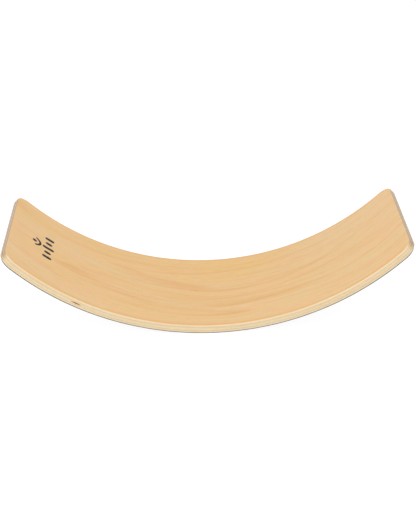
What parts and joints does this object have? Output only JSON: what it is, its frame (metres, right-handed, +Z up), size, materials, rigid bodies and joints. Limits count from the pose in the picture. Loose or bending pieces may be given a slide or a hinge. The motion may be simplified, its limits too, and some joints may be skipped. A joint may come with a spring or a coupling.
{
  "type": "rocker board",
  "caption": "Curved wooden rocker board, a children's seesaw to stand or sit on: bent plywood with rounded corners and a felt sole under its convex face.",
  "frame": {"origin": "middle of the flat at the lowest point of the felt sole, where the board meets the floor", "axes": "+X along the board, +Y across it, +Z up out of the concave face"},
  "size_m": [0.7256, 0.3, 0.1629],
  "materials": {
    "face_veneer_lacquered": "clear satin lacquer over pale beech, fine grain along the board",
    "cross_grain_veneer": "clear satin lacquer, fibres across the board, so end grain shows on the long edges",
    "long_grain_veneer": "clear satin lacquer, fibres along the board, so end grain shows at the two ends",
    "felt": "matt pressed felt"
  },
  "bodies": {
    "root": {"face_veneer": "face_veneer_lacquered", "core_ply_01": "long_grain_veneer", "core_ply_02": "long_grain_veneer", "core_ply_03": "cross_grain_veneer", "core_ply_04": "long_grain_veneer", "core_ply_05": "long_grain_veneer", "core_ply_06": "long_grain_veneer", "core_ply_07": "cross_grain_veneer", "core_ply_08": "long_grain_veneer", "core_ply_09": "long_grain_veneer", "back_veneer": "long_grain_veneer", "felt_sole": "felt"}
  },
  "joints": []
}
